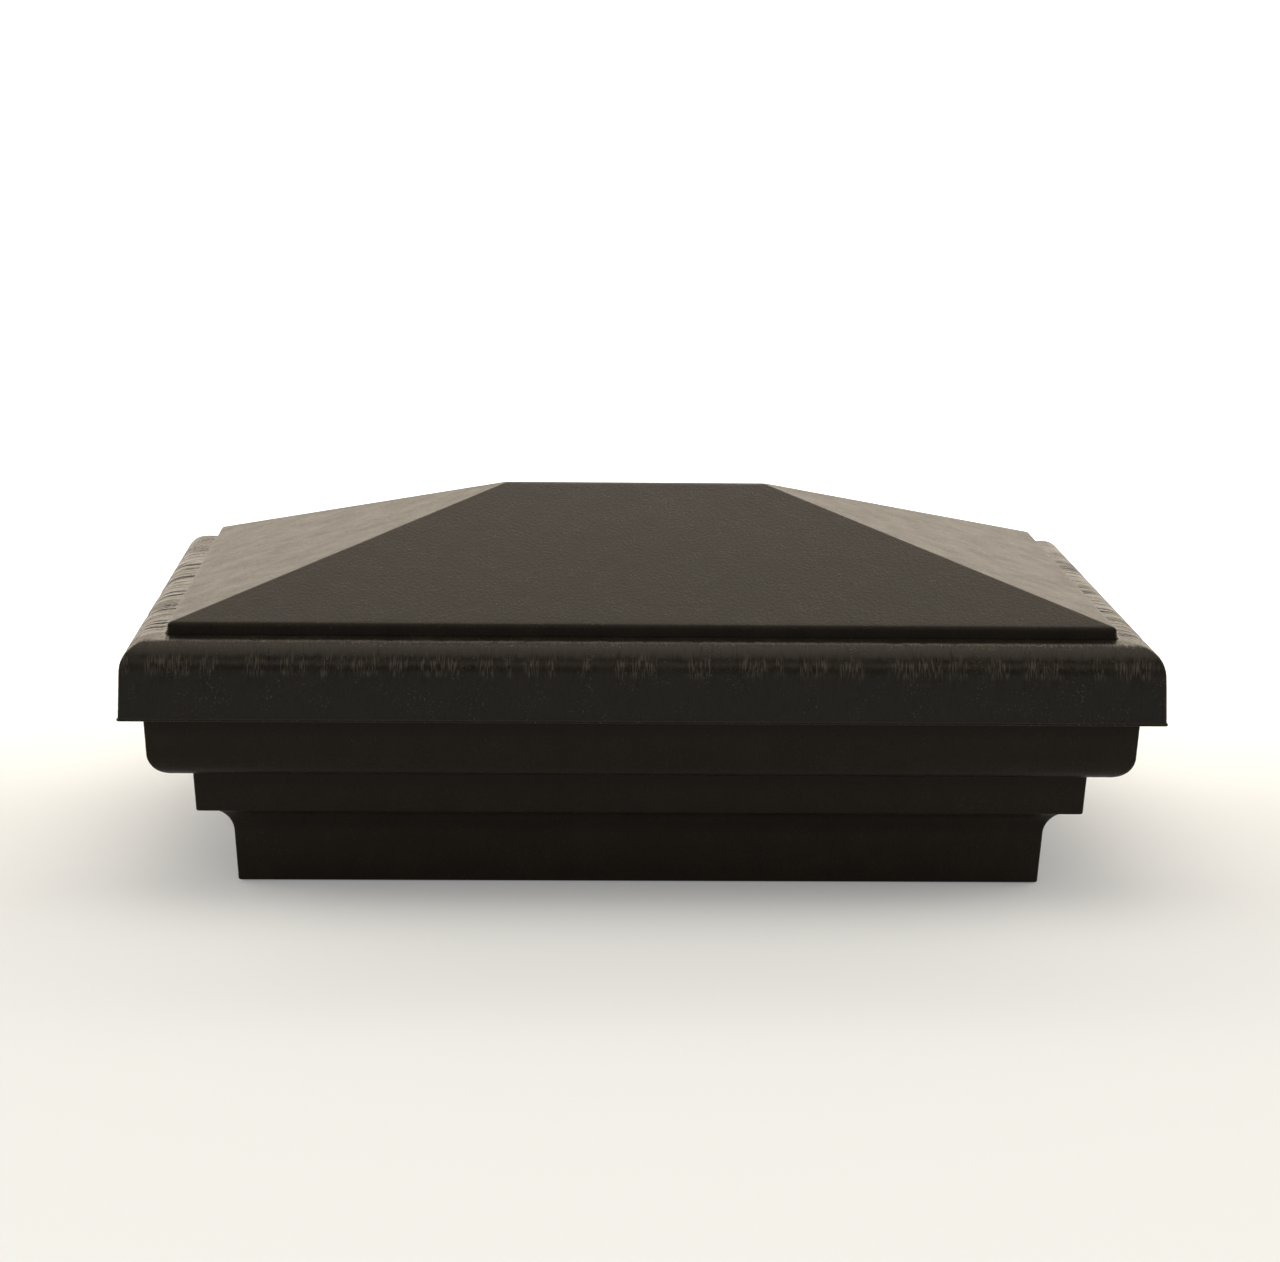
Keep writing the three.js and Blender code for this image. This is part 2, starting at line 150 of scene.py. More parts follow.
def outline_rings(half, radius, nx, ny, nc):
    """Points and outward directions of rounded rectangles, one row for each pair of half sizes."""
    hx, hy = half[:, 0], half[:, 1]
    r = np.minimum(radius, np.minimum(hx, hy) * 0.999)
    ends = [(1, -1), (1, 1), (-1, 1), (-1, -1)]
    counts = [nx, ny, nx, ny]
    xs, ys, ox, oy = [], [], [], []
    for side in range(4):
        start, end = ends[side - 1], ends[side]
        angle = math.pi * (side - 1) / 2
        outward = (math.cos(angle), math.sin(angle))
        for t in np.linspace(0, 1, counts[side] + 1):
            xs.append((start[0] + (end[0] - start[0]) * t) * (hx - r) + r * outward[0])
            ys.append((start[1] + (end[1] - start[1]) * t) * (hy - r) + r * outward[1])
            ox.append(np.full_like(hx, outward[0]))
            oy.append(np.full_like(hx, outward[1]))
        for step in range(1, nc):
            swung = angle + math.pi / 2 * step / nc
            xs.append(end[0] * (hx - r) + r * math.cos(swung))
            ys.append(end[1] * (hy - r) + r * math.sin(swung))
            ox.append(np.full_like(hx, math.cos(swung)))
            oy.append(np.full_like(hx, math.sin(swung)))
    place = np.stack([np.array(xs).T, np.array(ys).T], axis=-1)
    outward = np.stack([np.array(ox).T, np.array(oy).T], axis=-1)
    return place, outward


def run_along(profile, columns):
    """Distance along a profile, for every point of the rows made from it."""
    steps = np.linalg.norm(np.diff(profile, axis=0), axis=1)
    return np.repeat(np.concatenate([[0], np.cumsum(steps)])[:, None], columns, axis=1)


def swept_points(profile, corner_radius, nx, ny, nc, relief=None):
    """Rows of points made by running a profile of (projection, height) round the post. relief gives
    how far each point stands out along its normal."""
    half = np.maximum(POST_HALF[None, :] + profile[:, :1], 0)
    place, outward = outline_rings(half, corner_radius, nx, ny, nc)
    columns = place.shape[1]
    height = np.repeat(profile[:, 1:2], columns, axis=1)
    points = np.dstack([place[..., 0], place[..., 1], height])
    if relief is None:
        return points
    tangent = np.gradient(profile, axis=0)
    tangent /= np.linalg.norm(tangent, axis=1, keepdims=True)
    normal = np.stack([tangent[:, 1], -tangent[:, 0]], axis=1)
    amount = relief(points, outward, run_along(profile, columns))
    direction = np.dstack([
        outward[..., 0] * normal[:, :1],
        outward[..., 1] * normal[:, :1],
        np.repeat(normal[:, 1:], columns, axis=1),
    ])
    return points + direction * amount[..., None]


def grid_faces(rows, columns, first=0):
    """Quads between neighbouring rows of a band that closes on itself round the post."""
    index = first + np.arange(rows * columns).reshape(rows, columns)
    a, b = index[:-1], np.roll(index[:-1], -1, axis=1)
    d, c = index[1:], np.roll(index[1:], -1, axis=1)
    return np.stack([a, b, c, d], axis=-1).reshape(-1, 4).tolist()


def joint_faces(lower, upper):
    """Faces between two closed rows when one has a whole multiple of the other's points."""
    faces = []
    ratio = max(len(lower), len(upper)) // min(len(lower), len(upper))
    for j in range(min(len(lower), len(upper))):
        fine_is_lower = len(lower) > len(upper)
        fine, coarse = (lower, upper) if fine_is_lower else (upper, lower)
        strand = [int(fine[(j * ratio + k) % len(fine)]) for k in range(ratio + 1)]
        pair = [int(coarse[j]), int(coarse[(j + 1) % len(coarse)])]
        faces.append(strand + pair[::-1] if fine_is_lower else pair + strand[::-1])
    return faces


def mesh_piece(name, points, faces):
    mesh = bpy.data.meshes.new(name)
    mesh.from_pydata(points.reshape(-1, 3).tolist(), [], faces)
    piece = bpy.data.objects.new(name, mesh)
    bpy.context.scene.collection.objects.link(piece)
    return piece


def sweep(name, profile, corner_radius, nx=6, ny=6, nc=1, relief=None):
    """A solid whose profile starts and ends at the centre of the post's rectangle."""
    points = swept_points(profile, corner_radius, nx, ny, nc, relief)
    piece = mesh_piece(name, points, grid_faces(*points.shape[:2]))
    weld_points(piece)
    return piece


def sweep_skinned(name, skin, lining, corner_radius, nx, ny, nc, ratio, relief, closed, tint=None):
    """A solid with a finely divided skin, which carries a relief and a tint, and a plainer lining. A
    closed one is a ring: the lining goes on from the end of the skin. The others meet at the centre."""
    fine = (nx * ratio, ny * ratio, nc * ratio)
    outer = swept_points(skin, corner_radius, *fine, relief)
    inner = swept_points(lining, float(np.max(corner_radius)), nx, ny, nc)
    first = outer.shape[0] * outer.shape[1]
    faces = grid_faces(*outer.shape[:2]) + grid_faces(*inner.shape[:2], first)
    index_out = np.arange(first).reshape(outer.shape[:2])
    index_in = first + np.arange(inner.shape[0] * inner.shape[1]).reshape(inner.shape[:2])
    if closed:
        faces += joint_faces(index_out[-1], index_in[0])
    faces += joint_faces(index_in[-1], index_out[0])
    piece = mesh_piece(name, np.vstack([outer.reshape(-1, 3), inner.reshape(-1, 3)]), faces)
    if tint is not None:
        _, outward = outline_rings(POST_HALF[None, :] + skin[:, :1], corner_radius, *fine)
        share = np.zeros(first + inner.shape[0] * inner.shape[1], dtype=np.float32)
        share[:first] = tint(outer, outward, run_along(skin, outer.shape[1])).reshape(-1)
        # Per-point tint; on the brim it is the painted highlight of the ridge clusters.
        layer = piece.data.attributes.new("painted_glint", "FLOAT", "POINT")
        layer.data.foreach_set("value", share)
    if not closed:
        weld_points(piece)
    return piece


def weld_points(piece):
    distance = 1e-3
    shape = bmesh.new()
    shape.from_mesh(piece.data)
    bmesh.ops.remove_doubles(shape, verts=shape.verts, dist=distance)
    bmesh.ops.dissolve_degenerate(shape, edges=shape.edges, dist=distance / 10)
    shape.to_mesh(piece.data)
    shape.free()


# ---------------------------------------------------------------- simple solids, joins and cuts

def piece_from(shape, name):
    bmesh.ops.recalc_face_normals(shape, faces=shape.faces)
    mesh = bpy.data.meshes.new(name)
    shape.to_mesh(mesh)
    shape.free()
    piece = bpy.data.objects.new(name, mesh)
    bpy.context.scene.collection.objects.link(piece)
    return piece


def blocks(name, spans, bevel=0.25):
    """Several separate blocks in one piece, each from its low and high corner."""
    whole = bmesh.new()
    for low, high in spans:
        low, high = Vector(low), Vector(high)
        size = high - low
        matrix = Matrix.Translation((low + high) / 2) @ Matrix.Diagonal((*size, 1))
        made = bmesh.ops.create_cube(whole, size=1, matrix=matrix)
        edges = {edge for vert in made["verts"] for edge in vert.link_edges}
        if bevel:
            bmesh.ops.bevel(
                whole, geom=list(edges), offset=bevel, offset_type="OFFSET", segments=2,
                affect="EDGES", profile=0.5)
    return piece_from(whole, name)


def turned(name, profile, places, segments=48):
    """Solids of revolution about upright axes: profile is (radius, height) from axis to axis."""
    whole = bmesh.new()
    for cx, cy in places:
        rings = []
        for radius, height in profile:
            if radius < 1e-6:
                rings.append([whole.verts.new((cx, cy, height))])
                continue
            ring = []
            for step in range(segments):
                angle = 2 * math.pi * step / segments
                ring.append(whole.verts.new(
                    (cx + radius * math.cos(angle), cy + radius * math.sin(angle), height)))
            rings.append(ring)
        for lower, upper in zip(rings, rings[1:]):
            for step in range(segments):
                following = (step + 1) % segments
                corners = [lower[step % len(lower)], lower[following % len(lower)],
                           upper[following % len(upper)], upper[step % len(upper)]]
                distinct = list(dict.fromkeys(corners))
                if len(distinct) > 2:
                    whole.faces.new(distinct)
    return piece_from(whole, name)


def ring_profile(inner, outer, bottom, top, radius, segments=4):
    """A closed profile for a washer or bush with rounded edges, as (radius, height) points."""
    points = []
    quarters = [(outer - radius, bottom + radius, -90), (outer - radius, top - radius, 0),
                (inner + radius, top - radius, 90), (inner + radius, bottom + radius, 180)]
    for cx, cz, start in quarters:
        for step in range(segments + 1):
            angle = math.radians(start + 90 * step / segments)
            points.append((cx + radius * math.cos(angle), cz + radius * math.sin(angle)))
    return points


def turned_ring(name, profile, place, segments=64):
    """A solid ring of revolution from a closed profile of (radius, height) points."""
    shape = bmesh.new()
    cx, cy = place
    grid = []
    for radius, height in profile:
        ring = []
        for step in range(segments):
            angle = 2 * math.pi * step / segments
            ring.append(shape.verts.new(
                (cx + radius * math.cos(angle), cy + radius * math.sin(angle), height)))
        grid.append(ring)
    for i, ring in enumerate(grid):
        following = grid[(i + 1) % len(grid)]
        for step in range(segments):
            after = (step + 1) % segments
            shape.faces.new([ring[step], ring[after], following[after], following[step]])
    return piece_from(shape, name)


def combine(target, tool, operation):
    modifier = target.modifiers.new("combine", "BOOLEAN")
    modifier.object = tool
    modifier.operation = operation
    modifier.solver = "MANIFOLD"
    depsgraph = bpy.context.evaluated_depsgraph_get()
    mesh = bpy.data.meshes.new_from_object(target.evaluated_get(depsgraph))
    target.modifiers.clear()
    target.data = mesh
    bpy.data.objects.remove(tool)


def finish_piece(piece, body, material, replaced, sharp_degrees=32):
    """Scales a piece to metres, shades it, ties it to its body, and hides the CAD nodes that it
    replaces.
    """
    piece.data.transform(Matrix.Scale(MM, 4))
    for polygon in piece.data.polygons:
        polygon.use_smooth = True
    piece.data.set_sharp_from_angle(angle=math.radians(sharp_degrees))
    piece.data.materials.clear()
    piece.data.materials.append(material)
    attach(piece, body)
    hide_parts(*replaced)


# ---------------------------------------------------------------- materials

def set_range(node, low, high, from_value, to_value):
    """Fills in a Map Range node."""
    for key, number in (("From Min", low), ("From Max", high), ("To Min", from_value),
                        ("To Max", to_value)):
        node.inputs[key].default_value = number


class Nodes:
    """A short way to write a node tree."""

    def __init__(self, name):
        self.material = bpy.data.materials.new(name)
        self.material.use_nodes = True
        self.tree = self.material.node_tree
        self.shader = self.tree.nodes["Principled BSDF"]

    def add(self, kind, settings=None, **inputs):
        node = self.tree.nodes.new(kind)
        for key, value in (settings or {}).items():
            setattr(node, key, value)
        for key, value in inputs.items():
            self.feed(node, key, value)
        return node

    def feed(self, node, key, value):
        socket = node.inputs[int(key[1:])] if key[0] == "i" and key[1:].isdigit() else node.inputs[key]
        if isinstance(value, bpy.types.NodeSocket):
            self.tree.links.new(value, socket)
        elif isinstance(value, bpy.types.Node):
            self.tree.links.new(value.outputs[0], socket)
        else:
            socket.default_value = value

    def math(self, operation, a, b=0.0, clamp=False):
        settings = {"operation": operation, "use_clamp": clamp}
        return self.add("ShaderNodeMath", settings, i0=a, i1=b).outputs[0]

    def scaled(self, vector, x, y, z):
        node = self.add("ShaderNodeVectorMath", {"operation": "MULTIPLY"}, i0=vector)
        node.inputs[1].default_value = (x, y, z)
        return node.outputs[0]

    def noise(self, vector, scale, detail=2.0, roughness=0.5, distortion=0.0):
        node = self.add("ShaderNodeTexNoise", {"noise_dimensions": "3D"}, Vector=vector)
        for key, value in (("Scale", scale), ("Detail", detail), ("Roughness", roughness),
                           ("Distortion", distortion)):
            node.inputs[key].default_value = value
        return node.outputs["Fac"]

    def ramp(self, value, low, high, from_value=0.0, to_value=1.0):
        settings = {"clamp": True, "interpolation_type": "SMOOTHSTEP"}
        node = self.add("ShaderNodeMapRange", settings, Value=value)
        set_range(node, low, high, from_value, to_value)
        return node.outputs["Result"]

    def colour_mix(self, factor, a, b):
        node = self.add("ShaderNodeMix", {"data_type": "RGBA"})
        self.feed(node, "i0", factor)
        node.inputs[6].default_value = (*a, 1)
        node.inputs[7].default_value = (*b, 1)
        return node.outputs[2]

    def bump(self, height, distance, strength=1.0, normal=None):
        node = self.add("ShaderNodeBump", Height=height)
        node.inputs["Distance"].default_value = distance
        node.inputs["Strength"].default_value = strength
        if normal is not None:
            self.feed(node, "Normal", normal)
        return node.outputs["Normal"]

    def position_mm(self):
        coordinates = self.add("ShaderNodeTexCoord").outputs["Object"]
        return self.scaled(coordinates, 1000, 1000, 1000)

    def along_edge(self, position):
        """Coordinates that run along the nearest side of the rectangle, outwards from it, and up."""
        parts = self.add("ShaderNodeSeparateXYZ", Vector=position)
        x, y, z = parts.outputs
        out_x = self.math("SUBTRACT", self.math("ABSOLUTE", x), float(POST_HALF[0]))
        out_y = self.math("SUBTRACT", self.math("ABSOLUTE", y), float(POST_HALF[1]))
        on_end = self.math("GREATER_THAN", out_x, out_y)
        along = self.add("ShaderNodeMix", {"data_type": "FLOAT"})
        self.feed(along, "i0", on_end)
        self.feed(along, "i2", x)
        self.feed(along, "i3", self.math("ADD", y, 400.0))
        out = self.math("MAXIMUM", out_x, out_y)
        joined = self.add("ShaderNodeCombineXYZ", X=along.outputs[0], Y=out, Z=z)
        return joined.outputs[0]


# Paler colour painted on the specks and on the clusters of short ridges: painted highlight, their
# glints.
PAINTED_GLINT_COLOUR = (0.046, 0.042, 0.035)


def moulded_plastic(name, dark, light, roughness, specular, streaks, specks, stipple):
    """Warm near-black moulded plastic: grain lines across the edge, raised specks painted paler as their
    glints, a fine stipple, and paler short marks, painted highlights, where the mesh marks the ridge
    clusters."""
    nodes = Nodes(name)
    position = nodes.position_mm()
    edge = nodes.along_edge(position)
    patches = nodes.noise(position, 0.16, detail=3, roughness=0.6)
    fine = nodes.noise(nodes.scaled(position, 1.0, 0.55, 1.0), 1.9, detail=3, roughness=0.6)
    line = nodes.noise(nodes.scaled(edge, 1.9, 0.16, 0.16), 1.0, detail=2, roughness=0.6)
    tone = nodes.math("ADD", nodes.math("MULTIPLY", patches, 0.5), nodes.math("MULTIPLY", fine, 0.5))
    colour = nodes.colour_mix(nodes.ramp(tone, 0.35, 0.65), dark, light)
    # Raised specks: a real bump, also painted paler as their glints.
    crowded = nodes.ramp(nodes.noise(position, 0.17, detail=1), 0.42, 0.62)
    raised = nodes.ramp(nodes.noise(position, 2.5, detail=1), 0.62, 0.74)
    speck = nodes.math("MULTIPLY", raised, crowded)
    # Share of painted highlight along the ridge clusters, carried by the mesh.
    painted_glint = nodes.add("ShaderNodeAttribute", {"attribute_name": "painted_glint"}).outputs["Fac"]
    short = nodes.ramp(nodes.noise(nodes.scaled(edge, 4.4, 0.45, 0.45), 1.0, detail=1), 0.44, 0.64)
    # Where the specks and ridge marks catch light the colour is painted paler: painted highlight.
    glint_mask = nodes.math("MAXIMUM", nodes.math("MULTIPLY", speck, specks),
                      nodes.math("MULTIPLY", painted_glint, short))
    paler = nodes.add("ShaderNodeMix", {"data_type": "RGBA"})
    nodes.feed(paler, "i0", glint_mask)
    nodes.feed(paler, "i6", colour)
    paler.inputs[7].default_value = (*PAINTED_GLINT_COLOUR, 1)
    nodes.feed(nodes.shader, "Base Color", paler.outputs[2])
    uneven = nodes.math("MULTIPLY", nodes.math("SUBTRACT", tone, 0.5), 0.35)
    nodes.feed(nodes.shader, "Roughness", nodes.math("ADD", uneven, roughness, clamp=True))
    nodes.shader.inputs["Specular IOR Level"].default_value = specular
    normal = nodes.bump(fine, 0.0004 * stipple)
    normal = nodes.bump(line, 0.0006 * streaks, 1.0, normal)
    normal = nodes.bump(speck, 0.0001 * specks, 1.0, normal)
    nodes.feed(nodes.shader, "Normal", normal)
    return nodes.material


def steel(name):
    nodes = Nodes(name)
    position = nodes.position_mm()
    drawn = nodes.noise(nodes.scaled(position, 6, 6, 0.8), 1.0, detail=3)
    nodes.feed(nodes.shader, "Base Color",
               nodes.colour_mix(drawn, (0.50, 0.49, 0.47), (0.66, 0.65, 0.63)))
    nodes.shader.inputs["Metallic"].default_value = 1.0
    nodes.feed(nodes.shader, "Roughness", nodes.ramp(drawn, 0.2, 0.8, 0.24, 0.42))
    nodes.feed(nodes.shader, "Normal", nodes.bump(drawn, 0.00001, 0.5))
    return nodes.material


def rubber(name):
    nodes = Nodes(name)
    position = nodes.position_mm()
    bloom = nodes.noise(position, 0.9, detail=4, roughness=0.6)
    grain = nodes.noise(position, 9.0, detail=2)
    nodes.feed(nodes.shader, "Base Color",
               nodes.colour_mix(bloom, (0.012, 0.012, 0.012), (0.028, 0.027, 0.026)))
    nodes.feed(nodes.shader, "Roughness", nodes.ramp(bloom, 0.2, 0.8, 0.62, 0.8))
    nodes.feed(nodes.shader, "Normal", nodes.bump(grain, 0.00003, 0.6))
    return nodes.material


brim_plastic = moulded_plastic(
    "grained_plastic", dark=(0.0046, 0.0034, 0.0022), light=(0.0078, 0.0060, 0.0040),
    roughness=0.33, specular=0.22, streaks=0.38, specks=0.80, stipple=0.02)
roof_plastic = moulded_plastic(
    "roof_plastic", dark=(0.0080, 0.0069, 0.0056), light=(0.0126, 0.0110, 0.0090),
    roughness=0.38, specular=0.09, streaks=0.05, specks=0.30, stipple=0.18)
# The base's browner tone is partly the plastic's own colour and partly painted warm light reflected onto
# it.
warm_lit_base_plastic = moulded_plastic(
    "base_plastic", dark=(0.0096, 0.0068, 0.0036), light=(0.0132, 0.0096, 0.0054),
    roughness=0.38, specular=0.12, streaks=0.20, specks=0.26, stipple=0.08)
screw_steel = steel("screw_steel")
seal_rubber = rubber("seal_rubber")


# ---------------------------------------------------------------- sizes shared by the pieces

CENTRE = -POST_HALF[1]
CROWN_WALL = 3.0
LEDGE_UNDERSIDE = LEDGE_TOP - CROWN_WALL
REBATE_FLOOR = LEDGE_TOP - 0.8
OPENING_OUT = ROOF_OUT - 10.0
EAR_RADIUS = 5.4
ear_places = [(float(x), float(y)) for x, y, _ in roof_screws]
peg_places = [(float(x), float(y)) for x, y, _ in grommets]
boss_places = [(float(x), float(y)) for x, y, _ in base_screws]


def plug(name, places, radius, bottom, top):
    """Plain round bars."""
    return turned(name, [(0, bottom), (radius, bottom), (radius, top), (0, top)], places)


def on_short_side(outward):
    return np.abs(outward[..., 0]) > np.abs(outward[..., 1])


def projection(points):
    """How far points stand out from the faces of the post."""
    return np.max(np.abs(points[..., :2]) - POST_HALF, axis=-1)


def side_coordinates(points, outward):
    """Distance along the side each point belongs to, different for every side, for the noise."""
    on_end = on_short_side(outward)
    along = np.where(on_end, points[..., 1], points[..., 0])
    sign = np.where(on_end, np.sign(outward[..., 0]), np.sign(outward[..., 1]))
    return along + 500 + 300 * on_end + 130 * (sign > 0)


# ---------------------------------------------------------------- crown: brim frame

# The ledge rises a little towards the roof's step and falls towards the shoulder. The lip is the thin
# line along the lower edge of the brim.
FACE_TOP_OUT = BRIM_OUT - 0.55
SHOULDER_RADIUS = 5.4
LEDGE_EDGE_RADIUS = 0.14
LEDGE_RISE = 0.36
LEDGE_FALL = 0.42
LIP_HEIGHT = 0.45
LIP_OUT = 0.20
STEP_OUT = ROOF_OUT + 0.6
REBATE_OUT = STEP_OUT + 0.12
GRAIN_PITCH = 0.36


def grain_bend(along, run):
    """Sideways drift of the grain lines, so that they cross the brim in gentle curves."""
    return 2.4 * (noise(along / 12, run / 9, 3) - 0.5) + 0.6 * (noise(along / 3.1, run / 4, 4) - 0.5)


def ridge_clusters(along):
    """Where the short ridges crowd together, every few millimetres along a side."""
    return smooth_step(0.38, 0.60, noise(along / 1.6, along * 0, 7))


def grain_relief(points, outward, run):
    """Wood-like embossed grain: lines that cross the brim, with clusters of short deeper ridges."""
    along = side_coordinates(points, outward)
    height = points[..., 2]
    out = projection(points)
    bend = grain_bend(along, run)
    lines = noise((along + bend) / 1.4, run / 26.0, 6)
    valley = smooth_step(0.12, 0.0, np.abs(lines - 0.5))
    ridge = noise((along + bend) / GRAIN_PITCH, run / 3.2, 5)
    cluster = ridge_clusters(along + bend)
    weight = smooth_step(REBATE_OUT + 0.1, REBATE_OUT + 0.8, out)
    weight = weight * smooth_step(CROWN_BOTTOM + 0.7, CROWN_BOTTOM + 1.8, height)
    rounded = smooth_step(LEDGE_TOP - 8.0, LEDGE_TOP - 5.0, height)
    lower = rounded * smooth_step(LEDGE_TOP - 1.7, LEDGE_TOP - 3.2, height)
    short = (0.004 + 0.15 * cluster * lower) * (ridge - 0.75)
    depth = np.where(on_short_side(outward), 0.200, 0.070)
    fade = smooth_step(0.25, 0.55, noise(along / 4.0, run / 30.0, 9))
    return weight * (short - (0.020 + depth * rounded) * (0.45 + 0.55 * fade) * valley)


def painted_glint_ridges(points, outward, run):
    """Share of painted highlight: clusters of short paler marks round the lower shoulder, where the
    ridges catch light.
    """
    along = side_coordinates(points, outward)
    height = points[..., 2]
    reach = 0.9 * (noise(along / 1.1, run * 0, 12) - 0.5)
    band = smooth_step(LEDGE_TOP - 6.3, LEDGE_TOP - 4.9, height + reach) * smooth_step(
        LEDGE_TOP - 1.9, LEDGE_TOP - 2.9, height + reach)
    return (0.10 + 0.90 * ridge_clusters(along + grain_bend(along, run))) * band


skin_corners = [
    (BRIM_OUT - 0.6, CROWN_BOTTOM, 0),
    (BRIM_OUT, CROWN_BOTTOM, 0.12),
    (BRIM_OUT, CROWN_BOTTOM + LIP_HEIGHT, 0.12),
    (BRIM_OUT - LIP_OUT, CROWN_BOTTOM + LIP_HEIGHT + 0.12, 0),
    (FACE_TOP_OUT, LEDGE_TOP - LEDGE_FALL, SHOULDER_RADIUS),
    (REBATE_OUT, LEDGE_TOP + LEDGE_RISE, LEDGE_EDGE_RADIUS),
    (REBATE_OUT, LEDGE_TOP - 0.3, 0),
]
lining_corners = [
    (REBATE_OUT, REBATE_FLOOR, 0),
    (OPENING_OUT, REBATE_FLOOR, 0.3),
    (OPENING_OUT, LEDGE_UNDERSIDE - 4.0, 0.4),
    (OPENING_OUT + 2.2, LEDGE_UNDERSIDE - 4.0, 0.4),
    (OPENING_OUT + 2.2, LEDGE_UNDERSIDE, 0.5),
    (FACE_TOP_OUT - CROWN_WALL, LEDGE_UNDERSIDE, 2.5),
    (BRIM_OUT - CROWN_WALL, CROWN_BOTTOM, 0.3),
    (BRIM_OUT - 1.2, CROWN_BOTTOM, 0),
]


def nearest_row(profile, place):
    return int(np.argmin(np.abs(profile - np.array(place)).sum(axis=1)))


def even_spacing(length):
    return lambda point, following: length


# The shoulder has more rows than the rest of the skin.
skin = rounded_profile(skin_corners, even_spacing(1.1), arc_segments=1, closed=False)
shoulder_rows = rounded_profile(skin_corners[3:6], even_spacing(1.1), arc_segments=9, closed=False)
first_row = nearest_row(skin, skin_corners[3][:2])
last_row = nearest_row(skin, [REBATE_OUT + LEDGE_EDGE_RADIUS, LEDGE_TOP + LEDGE_RISE])
skin = np.vstack([skin[:first_row], shoulder_rows[:-1], skin[last_row:]])
lining = rounded_profile(lining_corners, even_spacing(9.0), arc_segments=3, closed=False)
density = ((84, 60, 2, 10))
skin_corner = 1.15 - 0.65 * smooth_step(REBATE_OUT + 0.2, REBATE_OUT + 2.6, skin[:, 0])
# The tint is the share of painted highlight on the brim's ridge clusters.
crown = sweep_skinned("brim_frame", skin, lining, skin_corner, *density, relief=grain_relief,
                      closed=True, tint=painted_glint_ridges)

# Ears reach inwards from the ledge to take the roof's screws.
EAR_LENGTH = 8.0
ear_spans = []
for x, y in ear_places:
    if abs(y) > 1:
        low_y, high_y = sorted((y, y + math.copysign(EAR_LENGTH, y)))
        low_x, high_x = x - EAR_RADIUS, x + EAR_RADIUS
    else:
        low_x, high_x = sorted((x, x + math.copysign(EAR_LENGTH, x)))
        low_y, high_y = y - EAR_RADIUS, y + EAR_RADIUS
    ear_spans.append(((low_x, low_y, LEDGE_UNDERSIDE), (high_x, high_y, REBATE_FLOOR)))
combine(crown, blocks("ears", ear_spans, bevel=0), "UNION")
combine(crown, plug("ear_ends", ear_places, EAR_RADIUS, LEDGE_UNDERSIDE, REBATE_FLOOR), "UNION")
PEG_TIP = crown_low[2]
peg_profile = [
    (0, PEG_TIP), (1.6, PEG_TIP), (2.0, PEG_TIP + 0.15), (3.0, PEG_TIP + 2.0),
    (3.0, LEDGE_UNDERSIDE - 3.0), (3.2, LEDGE_UNDERSIDE - 2.75), (4.3, LEDGE_UNDERSIDE - 2.6),
    (4.5, LEDGE_UNDERSIDE - 2.4), (4.5, LEDGE_UNDERSIDE + 1.5), (0, LEDGE_UNDERSIDE + 1.5),
]
combine(crown, turned("pegs", peg_profile, peg_places), "UNION")
combine(crown, plug("ear_holes", ear_places, 1.9, 40, LEDGE_TOP + 2), "DIFFERENCE")
finish_piece(crown, "crown", brim_plastic, ["crown_frame"])


# ---------------------------------------------------------------- crown: roof panel

SLOPE = math.tan(math.radians(16.6))
ROOF_EDGE = RIDGE_Z - (ROOF_OUT - CENTRE) * SLOPE
ROOF_WALL = 2.6
SLOPE_WALL = ROOF_WALL * math.hypot(1, SLOPE)


def roof_height(out, drop=0.0):
    """Height of the outside slope at a projection, lowered by a drop."""
    return RIDGE_Z - (out - CENTRE) * SLOPE - drop


def under_roof(name, inset, drop, bottom):
    """The solid space under the slopes, pulled in and lowered."""
    out = ROOF_OUT - inset
    profile = np.array([(CENTRE, bottom), (out, bottom), (out, roof_height(out, drop)),
                        (CENTRE, roof_height(CENTRE, drop))])
    return sweep(name, profile, 0.05)


def slope_relief(points, outward, run):
    """The slight unevenness of a large flat moulded face."""
    along = side_coordinates(points, outward)
    out = projection(points)
    weight = smooth_step(ROOF_OUT - 0.8, ROOF_OUT - 2.5, out)
    weight = weight * smooth_step(CENTRE + 1.0, CENTRE + 5.0, out)
    wave = noise(along / 15.0, run / 15.0, 11) - 0.5
    mottle = noise(along / 1.7, run / 1.4, 13) - 0.5
    return weight * (0.022 * wave + 0.006 * mottle)


def slope_spacing(point, following):
    """Closer rows on the slopes than on the edge and the crest."""
    return 0.66 if following[1] > ROOF_EDGE + 0.2 and point[0] > CENTRE + 2 else 0.8


EDGE_RADIUS = 0.95
CREST_HALF = 1.2
crest = [(CENTRE + out, roof_height(CENTRE + out, SLOPE * (CREST_HALF - out) ** 2 / (2 * CREST_HALF)), 0)
         for out in (CREST_HALF, 0.8, 0.4, 0)]
face_top = STEP_OUT - 0.3
roof_skin = rounded_profile(
    [(STEP_OUT, PANEL_BOTTOM + 0.4, 0), (face_top, roof_height(face_top), EDGE_RADIUS), *crest],
    slope_spacing, arc_segments=6, closed=False)
inner_out = ROOF_OUT - ROOF_WALL
roof_lining = rounded_profile(
    [(CENTRE, roof_height(CENTRE, SLOPE_WALL), 0), (inner_out, roof_height(inner_out, SLOPE_WALL), 0.3),
     (inner_out, PANEL_BOTTOM, 0.2), (STEP_OUT, PANEL_BOTTOM, 0.25), (STEP_OUT, PANEL_BOTTOM + 0.3, 0)],
    even_spacing(6.0), arc_segments=2, closed=False)
density = ((44, 30, 1, 5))
skin_corner = np.where(roof_skin[:, 1] < ROOF_EDGE - 0.6, 0.85, 0.30)
roof = sweep_skinned("roof_shell", roof_skin, roof_lining, skin_corner, *density, relief=slope_relief,
                     closed=False)

